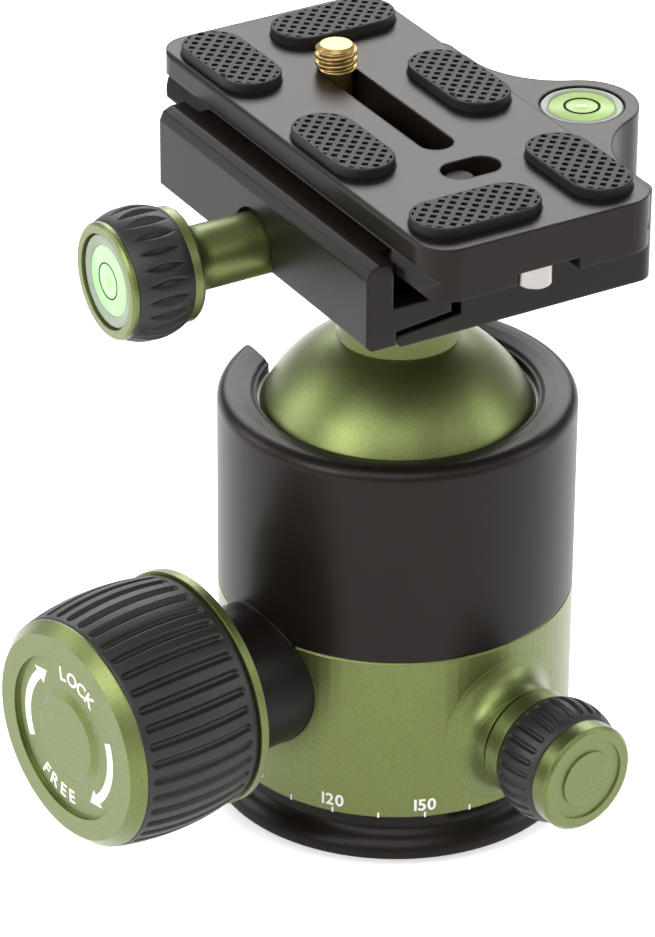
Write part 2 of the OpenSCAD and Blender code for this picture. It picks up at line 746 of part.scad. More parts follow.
module quick_plate() color(black) at_head() difference() {
    intersection() {
        along_l(plate_len) plate_section();
        rounded_plan(plate_len, plate_w, plate_corner, plate_bottom - 1, plate_top + 1);
    }
    for (side = [-1, 1]) {
        translate([side * plate_len / 2 - end_recess_len, -end_recess / 2, plate_bottom - 1])
            cube([2 * end_recess_len, end_recess, 1 + end_recess_h]);
        translate([side * stop_pin_l, 0, 0]) disc(stop_pin_r, 0, plate_bottom + end_recess_h + stop_pin_root);
    }
    translate([(slot_left + slot_right) / 2, 0, 0]) {
        obround(slot_right - slot_left, slot_w, 0, far);
        obround(slot_right - slot_left - slot_w + 2 * head_recess_r, 2 * head_recess_r, 0, plate_bottom + head_room);
    }
    translate([hole_l, 0, 0]) rotate([0, 0, 90]) {
        obround(hole_len, hole_w, 0, far);
        obround(hole_len - hole_w + 2 * (index_flange_r + slide_gap), 2 * (index_flange_r + slide_gap), 0, plate_bottom + head_room);
    }
    pad_places() obround(pad_len, pad_w, plate_top - pad_sink, far);
}

module plate_pads() color(rubber) at_head() pad_places()
    obround(pad_len - 0.1, pad_w - 0.1, plate_top - pad_sink, plate_top + pad_t);

module stop_pins() color(steel) at_head() for (side = [-1, 1])
    translate([side * stop_pin_l, 0, 0])
        disc(stop_pin_r, stop_pin_bottom, plate_bottom + end_recess_h + stop_pin_root);

module at_camera_screw() at_head() translate([camera_l, 0, 0]) children();

module screw_washer() color(steel) at_camera_screw() ring(head_r - 0.3, camera_neck_r + run,
    plate_bottom + head_room - camera_washer_t - run, plate_bottom + head_room - run);

module camera_screw() color(brass) at_camera_screw() {
    head_top = plate_bottom + head_room - camera_washer_t - 2 * run;
    disc(camera_neck_r, head_top - 1, plate_top + slide_gap + 0.5);
    disc(camera_thread_r, plate_top + slide_gap, plate_top + camera_len);
    difference() {
        disc(head_r, head_top - head_h, head_top);
        translate([-far / 2, -0.8, head_top - head_h - 1]) cube([far, 1.6, 2]);
    }
}

module index_pin() color(black) at_head() translate([hole_l, index_w, 0]) {
    disc(index_flange_r, plate_bottom + head_room - 1.5, plate_bottom + head_room - run);
    disc(index_r, plate_bottom + head_room - 1.5, plate_top - index_sink - 0.6);
    translate([0, 0, plate_top - index_sink - 0.6]) cylinder(r1 = index_r, r2 = index_r - 0.6, h = 0.6);
}

base_plate();
spindle();
base_screws();
thrust_washer();
ball_housing();
lower_block();
dial_sleeve();
upper_seat();
retaining_ring();
ring_screws();
lower_seat();
wedge();
main_knob_core();
main_knob_grip();
main_screw();
pan_shoe();
pan_knob_core();
pan_knob_grip();
pan_screw();
ball();
stem();
clamp_base();
clamp_screw();
ear_level();
jaw_guide_pins();
jaw();
clamp_knob_core();
clamp_knob_grip();
clamp_knob_screw();
knob_level();
quick_plate();
plate_pads();
stop_pins();
screw_washer();
camera_screw();
index_pin();
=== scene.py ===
import json
import math
import bmesh
import bpy
from mathutils import Matrix, Vector


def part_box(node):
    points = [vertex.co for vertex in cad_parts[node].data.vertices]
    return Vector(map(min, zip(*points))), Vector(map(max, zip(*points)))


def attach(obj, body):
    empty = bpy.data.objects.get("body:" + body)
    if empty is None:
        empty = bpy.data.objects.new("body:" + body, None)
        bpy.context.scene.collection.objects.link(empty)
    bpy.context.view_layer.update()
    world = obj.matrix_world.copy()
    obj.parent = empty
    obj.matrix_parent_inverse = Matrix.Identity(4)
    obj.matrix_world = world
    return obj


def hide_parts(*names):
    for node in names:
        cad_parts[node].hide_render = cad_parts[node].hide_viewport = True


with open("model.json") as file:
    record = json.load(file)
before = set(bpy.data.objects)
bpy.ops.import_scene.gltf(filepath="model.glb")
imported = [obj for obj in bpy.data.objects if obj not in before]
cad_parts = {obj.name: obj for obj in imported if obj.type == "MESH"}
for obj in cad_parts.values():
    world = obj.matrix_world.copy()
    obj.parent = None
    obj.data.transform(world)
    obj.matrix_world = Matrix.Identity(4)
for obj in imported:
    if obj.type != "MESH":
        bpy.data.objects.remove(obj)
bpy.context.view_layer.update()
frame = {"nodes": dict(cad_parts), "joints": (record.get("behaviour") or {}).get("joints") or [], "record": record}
nodes = frame["nodes"]
joints = {joint["name"]: joint for joint in frame["joints"]}
mm = 0.001


# places, worked out from the frame

def facing(origin, outwards, upwards=(0, 0, 1)):
    # columns are right, up and outwards, as somebody sees the face from outside
    outwards = Vector(outwards).normalized()
    right = Vector(upwards).cross(outwards).normalized()
    place = Matrix((right, outwards.cross(right), outwards)).transposed().to_4x4()
    place.translation = Vector(origin)
    return place


def knobPlace(jointName):
    # a knob's own frame: z runs outwards along its axis and starts beside the body's axis
    joint = joints[jointName]
    outwards = -Vector(joint["axis"])
    point = Vector(joint["pos_m"])
    return facing(point - outwards * point.dot(outwards), outwards)


def spanIn(place, node):
    # lowest and highest corner of a node in a place's own frame
    back = place.inverted()
    points = [back @ vertex.co for vertex in nodes[node].data.vertices]
    low = Vector([min(point[i] for point in points) for i in range(3)])
    high = Vector([max(point[i] for point in points) for i in range(3)])
    return low, high


across = Vector(joints["jaw_slide"]["axis"]).normalized()
along = Vector(joints["plate_slide"]["axis"]).normalized()
headPlace = Matrix((along, across, Vector((0, 0, 1)))).transposed().to_4x4()
mainPlace = knobPlace("main_knob_turn")
panPlace = knobPlace("pan_knob_turn")
clampKnobPlace = knobPlace("clamp_knob_turn")


# camera, floor and lamps

view = {
    "azimuth": math.radians(-38.6),   # from the front, towards the main knob's side
    "elevation": math.radians(29.60),
    "roll": math.radians(0.374),
    "distance": 774.56 * mm,
    "aimSide": -10.407 * mm,
    "aimHeight": 53.486 * mm,
    "lens": 197.6,
    "sensor": 36,
}


def makeCamera():
    side = Vector((math.cos(view["azimuth"]), math.sin(view["azimuth"]), 0))
    level = Vector((-side.y, side.x, 0))   # away from the camera, along the floor
    away = level * math.cos(view["elevation"]) - Vector((0, 0, math.sin(view["elevation"])))
    aim = side * view["aimSide"] + Vector((0, 0, view["aimHeight"]))
    data = bpy.data.cameras.new("camera")
    data.lens = view["lens"]
    data.sensor_width = view["sensor"]
    data.sensor_fit = "AUTO"
    data.clip_start = 0.01
    data.clip_end = 50
    camera = bpy.data.objects.new("camera", data)
    bpy.context.scene.collection.objects.link(camera)
    camera.location = aim - away * view["distance"]
    camera.rotation_euler = (away.to_track_quat("-Z", "Y").to_matrix()
                             @ Matrix.Rotation(view["roll"], 3, "Z")).to_euler()
    bpy.context.scene.camera = camera
    return side, level


viewSide, viewLevel = makeCamera()

studio = {
    "ambient": 0.45,        # what the world gives to matt surfaces
    "sky": 0.40,            # and to glossy ones
    "floorGlow": 0.6,       # what the camera sees of it
    "floorShine": 0.52,     # what glossy and clear pieces see of it
    "floorColour": (0.86, 0.86, 0.86, 1),
    "floorHalf": 6,         # metres from its middle to its edge
    "aimHeight": 0.06,      # where the lamps point, above the floor
    "lamps": [
        # name, side, away from the camera, height, width, depth in metres, watts
        ("keySoftbox", -0.68, -0.58, 0.60, 0.45, 0.45, 5.4),
        ("frontSoftbox", -0.05, -0.75, 1.0, 0.8, 0.8, 6.0),
        ("rightFrontSoftbox", 0.65, -0.48, 0.60, 0.3, 0.3, 0.7),
        ("rightSoftbox", 0.95, 0.0, 0.40, 0.35, 0.6, 2.6),
        ("leftSoftbox", -0.95, 0.2, 0.45, 0.4, 0.6, 3.6),
        ("backSoftbox", 0.0, 1.1, 0.72, 1.3, 0.5, 12.6),
    ],
}


def mathNode(tree, operation, first, second):
    # a Math node whose two inputs are sockets or numbers
    step = tree.nodes.new("ShaderNodeMath")
    step.operation = operation
    for given, socket in zip((first, second), step.inputs):
        if isinstance(given, bpy.types.NodeSocket):
            tree.links.new(given, socket)
        else:
            socket.default_value = given
    return step.outputs[0]


def makeWorld():
    world = bpy.data.worlds.new("studio")
    bpy.context.scene.world = world
    world.use_nodes = True
    tree = world.node_tree
    shade = tree.nodes["Background"]
    shade.inputs["Color"].default_value = (1, 1, 1, 1)
    path = tree.nodes.new("ShaderNodeLightPath")
    shine = tree.nodes.new("ShaderNodeMix")
    shine.inputs["A"].default_value = studio["ambient"]
    shine.inputs["B"].default_value = studio["sky"]
    strength = tree.nodes.new("ShaderNodeMix")
    strength.inputs["B"].default_value = 1
    clear = mathNode(tree, "MAXIMUM", path.outputs["Is Camera Ray"], path.outputs["Is Transmission Ray"])
    tree.links.new(path.outputs["Is Glossy Ray"], shine.inputs["Factor"])
    tree.links.new(clear, strength.inputs["Factor"])
    tree.links.new(shine.outputs["Result"], strength.inputs["A"])
    tree.links.new(strength.outputs["Result"], shade.inputs["Strength"])


def floorPaper():
    paper = bpy.data.materials.new("floorPaper")
    paper.use_nodes = True
    tree = paper.node_tree
    surface = tree.nodes["Principled BSDF"]
    surface.inputs["Base Color"].default_value = studio["floorColour"]
    surface.inputs["Roughness"].default_value = 0.9
    surface.inputs["Specular IOR Level"].default_value = 0.1
    surface.inputs["Emission Color"].default_value = (1, 1, 1, 1)
    path = tree.nodes.new("ShaderNodeLightPath")
    shown = mathNode(tree, "MULTIPLY", path.outputs["Is Camera Ray"], studio["floorGlow"])
    seen = mathNode(tree, "MAXIMUM", path.outputs["Is Glossy Ray"], path.outputs["Is Transmission Ray"])
    shine = mathNode(tree, "MULTIPLY", seen, studio["floorShine"])
    glow = mathNode(tree, "MAXIMUM", shown, shine)
    tree.links.new(glow, surface.inputs["Emission Strength"])
    return paper


def makeFloor():
    half = studio["floorHalf"]
    corners = [(-half, -half, 0), (half, -half, 0), (half, half, 0), (-half, half, 0)]
    mesh = bpy.data.meshes.new("floor")
    mesh.from_pydata(corners, [], [(0, 1, 2, 3)])
    mesh.materials.append(floorPaper())
    floor = bpy.data.objects.new("floor", mesh)
    bpy.context.scene.collection.objects.link(floor)


def makeLamps():
    for name, side, away, height, width, depth, watts in studio["lamps"]:
        data = bpy.data.lights.new(name, "AREA")
        data.shape = "RECTANGLE"
        data.size = width
        data.size_y = depth
        data.energy = watts
        lamp = bpy.data.objects.new(name, data)
        bpy.context.scene.collection.objects.link(lamp)
        lamp.location = viewSide * side + viewLevel * away + Vector((0, 0, height))
        towards = Vector((0, 0, studio["aimHeight"])) - lamp.location
        lamp.rotation_euler = towards.to_track_quat("-Z", "Y").to_euler()


makeWorld()
makeFloor()
makeLamps()
bpy.context.scene.view_settings.view_transform = "Standard"
print("studio: camera, floor and", len(studio["lamps"]), "lamps")


# finishes

def newFinish(name, colour, roughness, metallic=0.0, specular=0.5):
    material = bpy.data.materials.new(name)
    material.use_nodes = True
    surface = material.node_tree.nodes["Principled BSDF"]
    surface.inputs["Base Color"].default_value = (*colour, 1)
    surface.inputs["Roughness"].default_value = roughness
    surface.inputs["Metallic"].default_value = metallic
    surface.inputs["Specular IOR Level"].default_value = specular
    return material, surface


def addGlow(surface, colour, strength):
    # painted light: the surface glows in the given colour, though it is no lamp
    surface.inputs["Emission Color"].default_value = (*colour, 1)
    surface.inputs["Emission Strength"].default_value = strength


def addGrain(material, surface, size, depth, edge=0.0, contrast=0.0):
    # a fine grain in the surface, with softened edges, and a slight speckle in the colour
    add = material.node_tree.nodes.new
    links = material.node_tree.links
    place = add("ShaderNodeTexCoord")
    grain = add("ShaderNodeTexNoise")
    grain.inputs["Scale"].default_value = 1 / size
    grain.inputs["Detail"].default_value = 3
    links.new(place.outputs["Object"], grain.inputs["Vector"])
    bump = add("ShaderNodeBump")
    bump.inputs["Strength"].default_value = 0.6
    bump.inputs["Distance"].default_value = depth
    links.new(grain.outputs["Fac"], bump.inputs["Height"])
    if edge:
        rounding = add("ShaderNodeBevel")
        rounding.samples = 6
        rounding.inputs["Radius"].default_value = edge
        links.new(rounding.outputs["Normal"], bump.inputs["Normal"])
    links.new(bump.outputs["Normal"], surface.inputs["Normal"])
    if contrast:
        base = list(surface.inputs["Base Color"].default_value)
        speckle = add("ShaderNodeMixRGB")
        speckle.blend_type = "MIX"
        speckle.inputs[1].default_value = [c * (1 - contrast) for c in base[:3]] + [1]
        speckle.inputs[2].default_value = [min(1, c * (1 + contrast)) for c in base[:3]] + [1]
        links.new(grain.outputs["Fac"], speckle.inputs[0])
        links.new(speckle.outputs[0], surface.inputs["Base Color"])


def greenAnodised():
    material, surface = newFinish("greenAnodised", (0.126, 0.160, 0.036), 0.41, 0.92)
    surface.inputs["Coat Weight"].default_value = 1
    surface.inputs["Coat IOR"].default_value = 1.4
    surface.inputs["Coat Roughness"].default_value = 0.42
    addGrain(material, surface, 0.22 * mm, 0.026 * mm, 0.25 * mm, 0.55)
    return material


def blackAnodised():
    material, surface = newFinish("blackAnodised", (0.0075, 0.0056, 0.0047), 0.34, specular=0.2)
    surface.inputs["Specular Tint"].default_value = (1, 0.95, 0.92, 1)
    addGrain(material, surface, 0.16 * mm, 0.014 * mm, 0.55 * mm, 0.15)
    return material


def gripRubber():
    material, surface = newFinish("gripRubber", (0.0125, 0.0102, 0.0095), 0.48, specular=0.45)
    addGrain(material, surface, 0.10 * mm, 0.008 * mm, 0, 0.1)
    return material


def padRubber():
    material, surface = newFinish("padRubber", (0.0075, 0.0065, 0.0060), 0.55, specular=0.3)
    addGrain(material, surface, 0.10 * mm, 0.008 * mm, 0, 0.1)
    return material


def brightSteel():
    material, surface = newFinish("brightSteel", (0.62, 0.61, 0.59), 0.28, 1)
    addGrain(material, surface, 0.3 * mm, 0.004 * mm, 0.15 * mm, 0.05)
    return material


def brightAluminium():
    material, surface = newFinish("brightAluminium", (0.38, 0.36, 0.34), 0.24, 1)
    addGrain(material, surface, 0.3 * mm, 0.003 * mm, 0.15 * mm, 0.05)
    return material


def turnedBrass():
    material, surface = newFinish("turnedBrass", (0.50, 0.35, 0.13), 0.34, 1)
    addGrain(material, surface, 0.25 * mm, 0.003 * mm, 0, 0.08)
    return material


def bearingPlastic():
    material, surface = newFinish("bearingPlastic", (0.72, 0.70, 0.64), 0.45)
    addGrain(material, surface, 0.4 * mm, 0.006 * mm, 0.15 * mm, 0.05)
    return material


def blackenedSteel():
    material, surface = newFinish("blackenedSteel", (0.012, 0.011, 0.011), 0.5, specular=0.15)
    addGrain(material, surface, 0.4 * mm, 0.003 * mm, 0.15 * mm, 0.05)
    return material


def printWhite():
    material, surface = newFinish("printWhite", (0.86, 0.87, 0.84), 0.6)
    addGrain(material, surface, 0.08 * mm, 0.003 * mm, 0, 0.04)
    return material


def clearAcrylic():
    material, surface = newFinish("clearAcrylic", (0.42, 0.47, 0.38), 0.16, specular=0.12)
    surface.inputs["Transmission Weight"].default_value = 0.35
    surface.inputs["IOR"].default_value = 1.3
    return material


def levelLiquid():
    colour = (0.36, 0.51, 0.19)
    material, surface = newFinish("levelLiquid", colour, 0.25, specular=0.1)
    # painted light: the liquid glows faintly in its own colour, so it looks brighter than the lamps make it
    addGlow(surface, colour, 0.15)
    return material


def mintLiquid():
    colour = (0.42, 0.74, 0.36)
    material, surface = newFinish("mintLiquid", colour, 0.25, specular=0.1)
    # painted light: the liquid glows faintly in its own colour, so it looks brighter than the lamps make it
    addGlow(surface, colour, 0.15)
    return material


def bubbleGlass():
    colour = (0.40, 0.60, 0.26)
    material, surface = newFinish("bubbleGlass", colour, 0.2, specular=0.2)
    # painted light: the bubble glows faintly in its own colour
    addGlow(surface, colour, 0.05)
    return material


def printBlack():
    material, _ = newFinish("printBlack", (0.004, 0.005, 0.003), 0.6, specular=0.05)
    return material


finishes = {
    "green_anodised": greenAnodised(),
    "black_anodised": blackAnodised(),
    "grip_rubber": gripRubber(),
    "pad_rubber": padRubber(),
    "steel": brightSteel(),
    "silver": brightAluminium(),
    "brass": turnedBrass(),
    "white_plastic": bearingPlastic(),
    "blackened_steel": blackenedSteel(),
    "level_liquid": levelLiquid(),
    "mint_liquid": mintLiquid(),
    "acrylic": clearAcrylic(),
    "bubble": bubbleGlass(),
    "print_white": printWhite(),
    "print_black": printBlack(),
}
slotOf = {part["node"]: part["material_slot"] for part in frame["record"]["subparts"]}
for name, node in nodes.items():
    node.data.materials.clear()
    node.data.materials.append(finishes[slotOf[name]])
print("finishes:", len(finishes))


# shapes

def gridMesh(name, rows, wrapRows, wrapColumns):
    # a mesh from rows of points; a grid that wraps both ways is a closed ring
    high, wide = len(rows), len(rows[0])
    faces = []
    for i in range(high if wrapRows else high - 1):
        for j in range(wide if wrapColumns else wide - 1):
            below, right = (i + 1) % high, (j + 1) % wide
            faces.append((i * wide + j, i * wide + right, below * wide + right, below * wide + j))
    mesh = bpy.data.meshes.new(name)
    mesh.from_pydata([tuple(point) for row in rows for point in row], [], faces)
    return mesh


def closeUp(mesh, weld=0.0, sharp=40):
    # welds a mesh, faces it outwards and shades it smooth between its edges
    work = bmesh.new()
    work.from_mesh(mesh)
    if weld:
        bmesh.ops.remove_doubles(work, verts=work.verts, dist=weld)
    bmesh.ops.recalc_face_normals(work, faces=work.faces)
    work.to_mesh(mesh)
    work.free()
    mesh.shade_smooth()
    mesh.set_sharp_from_angle(angle=math.radians(sharp))
    return mesh


def addPiece(name, mesh, finish, body, stands=()):
    piece = bpy.data.objects.new(name, mesh)
    bpy.context.scene.collection.objects.link(piece)
    mesh.materials.clear()
    mesh.materials.append(finishes[finish])
    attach(piece, body)
    if stands:
        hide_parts(*stands)
    return piece


def evaluated(mesh, tree, settings):
    # runs a Geometry Nodes tree on a mesh and gives the result as a plain mesh
    holder = bpy.data.objects.new(mesh.name + "Holder", mesh)
    bpy.context.scene.collection.objects.link(holder)
    modifier = holder.modifiers.new("repeat", "NODES")
    modifier.node_group = tree
    for item in tree.interface.items_tree:
        if item.in_out == "INPUT" and item.name in settings:
            modifier[item.identifier] = settings[item.name]
    bpy.context.view_layer.update()
    graph = bpy.context.evaluated_depsgraph_get()
    result = bpy.data.meshes.new_from_object(holder.evaluated_get(graph), depsgraph=graph)
    bpy.data.objects.remove(holder)
    return result


def newTree(name, inputs):
    tree = bpy.data.node_groups.new(name, "GeometryNodeTree")
    tree.interface.new_socket("Geometry", in_out="INPUT", socket_type="NodeSocketGeometry")
    for label, kind in inputs:
        tree.interface.new_socket(label, in_out="INPUT", socket_type=kind)
    tree.interface.new_socket("Geometry", in_out="OUTPUT", socket_type="NodeSocketGeometry")
    return tree, tree.nodes.new("NodeGroupInput"), tree.nodes.new("NodeGroupOutput")


def roundRepeatTree():
    # copies of the geometry in a ring about z
    tree, given, result = newTree("roundRepeat", [
        ("Count", "NodeSocketInt"), ("Finish", "NodeSocketMaterial")])
    add, link = tree.nodes.new, tree.links.new
    points = add("GeometryNodePoints")
    index = add("GeometryNodeInputIndex")
    step = add("ShaderNodeMath")
    step.operation = "DIVIDE"
    step.inputs[0].default_value = math.tau
    turn = add("ShaderNodeMath")
    turn.operation = "MULTIPLY"
    euler = add("ShaderNodeCombineXYZ")
    rotation = add("FunctionNodeEulerToRotation")
    copies = add("GeometryNodeInstanceOnPoints")
    real = add("GeometryNodeRealizeInstances")
    paint = add("GeometryNodeSetMaterial")
    link(given.outputs["Count"], points.inputs["Count"])
    link(given.outputs["Count"], step.inputs[1])
    link(index.outputs[0], turn.inputs[0])
    link(step.outputs[0], turn.inputs[1])
    link(turn.outputs[0], euler.inputs["Z"])
    link(euler.outputs[0], rotation.inputs[0])
    link(points.outputs[0], copies.inputs["Points"])
    link(given.outputs["Geometry"], copies.inputs["Instance"])
    link(rotation.outputs[0], copies.inputs["Rotation"])
    link(copies.outputs[0], real.inputs[0])
    link(real.outputs[0], paint.inputs["Geometry"])
    link(given.outputs["Finish"], paint.inputs["Material"])
    link(paint.outputs[0], result.inputs[0])
    return tree


def carved(mesh, cutter):
    # cuts one mesh out of another and gives a plain mesh
    tool = bpy.data.objects.new("tool", cutter)
    holder = bpy.data.objects.new("holder", mesh)
    for piece in (tool, holder):
        bpy.context.scene.collection.objects.link(piece)
    modifier = holder.modifiers.new("cut", "BOOLEAN")
    modifier.operation = "DIFFERENCE"
    modifier.solver = "EXACT"
    modifier.object = tool
    bpy.context.view_layer.update()
    graph = bpy.context.evaluated_depsgraph_get()
    result = bpy.data.meshes.new_from_object(holder.evaluated_get(graph), depsgraph=graph)
    for piece in (tool, holder):
        bpy.data.objects.remove(piece)
    return result


def roundRow(radius, height, sides):
    # one level ring of points about z
    turns = [math.tau * i / sides for i in range(sides)]
    return [(radius * math.cos(turn), radius * math.sin(turn), height) for turn in turns]


def ease(t):
    t = max(0.0, min(1.0, t))
    return t * t * (3 - 2 * t)


# grips: one groove of the sleeve, repeated round the knob

grips = {
    "mainGrip": {
        "node": "main_knob_grip", "body": "main_knob", "place": mainPlace, "count": 40,
        "endRadius": 17.7 * mm, "halfWidth": 0.85 * mm, "wall": 0.7 * mm, "depth": 0.75 * mm,
        "margins": (1.2 * mm, 0.6 * mm), "lens": False,
    },
    "panGrip": {
        "node": "pan_knob_grip", "body": "pan_knob", "place": panPlace, "count": 28,
        "endRadius": 8.4 * mm, "halfWidth": 0.62 * mm, "wall": 0.5 * mm, "depth": 0.5 * mm,
        "margins": (1.0 * mm, 0.9 * mm), "lens": False,
    },
    "clampGrip": {
        "node": "clamp_knob_grip", "body": "clamp_knob", "place": clampKnobPlace, "count": 24,
        "endRadius": 8.7 * mm, "halfWidth": 1.0 * mm, "wall": 1.0 * mm, "depth": 0.7 * mm,
        "margins": (0.9 * mm, 0.9 * mm), "lens": True,
    },
}

gripEdge = {"radius": 0.3 * mm, "shares": (0, 0.1, 1 / 3, 2 / 3, 1)}    # the sleeve's rounded ends


def gripTile(name, grip):
    low, high = spanIn(grip["place"], grip["node"])
    start, end = low.z, high.z
    back = grip["place"].inverted()
    inner = min((back @ vertex.co).xy.length for vertex in nodes[grip["node"]].data.vertices)
    middle = (start + end) / 2
    half = (end - start) / 2
    rise = high.x - grip["endRadius"]
    bulge = (half * half + rise * rise) / (2 * rise)
    grooveStart, grooveEnd = start + grip["margins"][0], end - grip["margins"][1]
    grooveMiddle, grooveHalf = (grooveStart + grooveEnd) / 2, (grooveEnd - grooveStart) / 2
    width, edge = grip["halfWidth"], gripEdge["radius"]
    period = math.tau * high.x / grip["count"]
    shoulder = 1.12 * width                 # just outside the groove
    flank = (period / 2 + width) / 2        # half way from the groove to the tile's side
    sides = [i * width / 8 for i in range(-8, 9)]
    sides = [-period / 2, -flank, -shoulder] + sides + [shoulder, flank]
    corner = [edge * share for share in gripEdge["shares"]]
    rounding = [(i - 1) * width / 7 for i in range(11)]     # finer rows where the groove's end is round
    ends = [start + step for step in corner] + [grooveStart + step for step in rounding]
    tops = [grooveEnd - step for step in reversed(rounding)] + [end - step for step in reversed(corner)]
    between = [ends[-1] + (tops[0] - ends[-1]) * i / 10 for i in range(1, 10)]
    heights = sorted(ends + between + tops)

    def radius(side, height):
        barrel = high.x - bulge + math.sqrt(bulge * bulge - (height - middle) ** 2)
        if grip["lens"]:
            reach = width * (1 - ((height - grooveMiddle) / grooveHalf) ** 2) - abs(side)
        else:
            beyond = max(0, abs(height - grooveMiddle) - grooveHalf + width)
            reach = width - math.hypot(side, beyond)
        barrel -= grip["depth"] * ease(reach / grip["wall"])
        toEnd = min(height - start, end - height)
        if toEnd < edge:
            barrel -= edge - math.sqrt(edge * edge - (edge - toEnd) ** 2)
        return barrel

    columns = []
    for side in sides:
        turn = side / period * math.tau / grip["count"]
        section = [(radius(side, height), height) for height in heights] + [(inner, end), (inner, start)]
        columns.append([(r * math.cos(turn), r * math.sin(turn), z) for r, z in section])
    last = Matrix.Rotation(math.tau / grip["count"], 4, "Z")    # the first column, one groove further round
    columns.append([last @ Vector(point) for point in columns[0]])
    return gridMesh(name + "Tile", columns, False, True)


roundRepeat = roundRepeatTree()
for name, grip in grips.items():
    settings = {"Count": grip["count"], "Finish": finishes["grip_rubber"]}
    mesh = evaluated(gripTile(name, grip), roundRepeat, settings)
    mesh.transform(grip["place"])
    mesh.name = name
    addPiece(name, closeUp(mesh, 0.002 * mm), "grip_rubber", grip["body"], [grip["node"]])
print("grips:", len(grips))


# pads: a round-ended block with square pits on the slant

pads = {
    "places": [(-32, 7.3, 90), (32, -7.3, 90),        # along, across in millimetres, turn in degrees
               (-27.3, -12.9, 0), (27.3, 12.9, 0), (5.1, -12.9, 0), (-5.1, 12.9, 0)],
    "length": 20.2 * mm,
    "width": 9.6 * mm,
    "edge": 0.25 * mm,
    "pitch": 1.63 * mm,
    "pit": 0.93 * mm,
    "depth": 0.9 * mm,
    "inset": 0.36 * mm,      # how far the pits stay inside the outline
    "count": 15,             # pits along each side of the lattice
}


def obroundRing(length, width, height, inset):
    radius = width / 2
    ring = []
    for side in (1, -1):
        for i in range(25):
            turn = math.radians(-90 + 7.5 * i) if side == 1 else math.radians(90 + 7.5 * i)
            ring.append((side * (length / 2 - radius) + (radius - inset) * math.cos(turn),
                         (radius - inset) * math.sin(turn), height))
    return ring


def blockMesh(name, rings):
    mesh = gridMesh(name, rings, False, True)
    work = bmesh.new()
    work.from_mesh(mesh)
    work.verts.ensure_lookup_table()
    wide = len(rings[0])
    work.faces.new(work.verts[:wide])
    work.faces.new(work.verts[-wide:])
    work.to_mesh(mesh)
    work.free()
    return closeUp(mesh)


def pitTree():
    # square pits on a lattice, kept inside the outline and cut out of the block
    tree, given, result = newTree("pitField", [
        ("Pitch", "NodeSocketFloat"), ("Pit", "NodeSocketVector"), ("Top", "NodeSocketVector"),
        ("Field", "NodeSocketVector"), ("Count", "NodeSocketInt"), ("Finish", "NodeSocketMaterial")])
    add, link = tree.nodes.new, tree.links.new
    reach = add("ShaderNodeMath")
    reach.operation = "MULTIPLY"
    less = add("ShaderNodeMath")
    less.operation = "SUBTRACT"
    less.inputs[1].default_value = 1
    lattice = add("GeometryNodeMeshGrid")
    cube = add("GeometryNodeMeshCube")
    copies = add("GeometryNodeInstanceOnPoints")
    turned = add("GeometryNodeTransform")
    turned.inputs["Rotation"].default_value = (0, 0, math.radians(45))
    real = add("GeometryNodeRealizeInstances")
    field = add("GeometryNodeTransform")
    kept = add("GeometryNodeMeshBoolean")
    kept.operation = "INTERSECT"
    cut = add("GeometryNodeMeshBoolean")
    cut.operation = "DIFFERENCE"
    flat = add("GeometryNodeRealizeInstances")
    paint = add("GeometryNodeSetMaterial")
    link(given.outputs["Count"], lattice.inputs["Vertices X"])
    link(given.outputs["Count"], lattice.inputs["Vertices Y"])
    link(given.outputs["Count"], less.inputs[0])
    link(less.outputs[0], reach.inputs[0])
    link(given.outputs["Pitch"], reach.inputs[1])
    link(reach.outputs[0], lattice.inputs["Size X"])
    link(reach.outputs[0], lattice.inputs["Size Y"])
    link(given.outputs["Pit"], cube.inputs["Size"])
    link(lattice.outputs["Mesh"], copies.inputs["Points"])
    link(cube.outputs["Mesh"], copies.inputs["Instance"])
    link(copies.outputs[0], real.inputs[0])
    link(real.outputs[0], turned.inputs["Geometry"])
    link(given.outputs["Top"], turned.inputs["Translation"])
    link(given.outputs["Geometry"], field.inputs["Geometry"])
    link(given.outputs["Field"], field.inputs["Scale"])
    link(turned.outputs[0], kept.inputs["Mesh 2"])
    link(field.outputs[0], kept.inputs["Mesh 2"])
    link(given.outputs["Geometry"], cut.inputs["Mesh 1"])
    link(kept.outputs[0], cut.inputs["Mesh 2"])
    link(cut.outputs[0], flat.inputs[0])
    link(flat.outputs[0], paint.inputs["Geometry"])
    link(given.outputs["Finish"], paint.inputs["Material"])
    link(paint.outputs[0], result.inputs[0])
    return tree


def padMesh():
    low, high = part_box("plate_pads")
    tall, edge = high[2] - low[2], pads["edge"]
    rings = [obroundRing(pads["length"], pads["width"], 0, 0)]
    for i in range(5):
        turn = math.radians(22.5 * i)
        rings.append(obroundRing(pads["length"], pads["width"], tall - edge + edge * math.sin(turn),
                                 edge * (1 - math.cos(turn))))
    inset = 2 * pads["inset"]
    field = ((pads["length"] - inset) / pads["length"], (pads["width"] - inset) / pads["width"], 3)
    return evaluated(blockMesh("padBlock", rings), pitTree(), {
        "Pitch": pads["pitch"], "Pit": (pads["pit"], pads["pit"], 2 * pads["depth"]), "Top": (0, 0, tall),
        "Field": field, "Count": pads["count"], "Finish": finishes["pad_rubber"]})


def joinMeshes(name, meshes):
    work = bmesh.new()
    for mesh in meshes:
        work.from_mesh(mesh)
    joined = bpy.data.meshes.new(name)
    work.to_mesh(joined)
    work.free()
    return joined


def makePads():
    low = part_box("plate_pads")[0]
    single = padMesh()
    copies = []
    for x, y, turn in pads["places"]:
        copy = single.copy()
        spin = Matrix.Rotation(math.radians(turn), 4, "Z")
        copy.transform(headPlace @ Matrix.Translation((x * mm, y * mm, low[2])) @ spin)
        copies.append(copy)
    mesh = closeUp(joinMeshes("platePads", copies))
    addPiece("platePads", mesh, "pad_rubber", "plate", ["plate_pads"])


makePads()
print("pads:", len(pads["places"]))


# camera screw: neck, head with a slot, and a thread whose ridge climbs round it

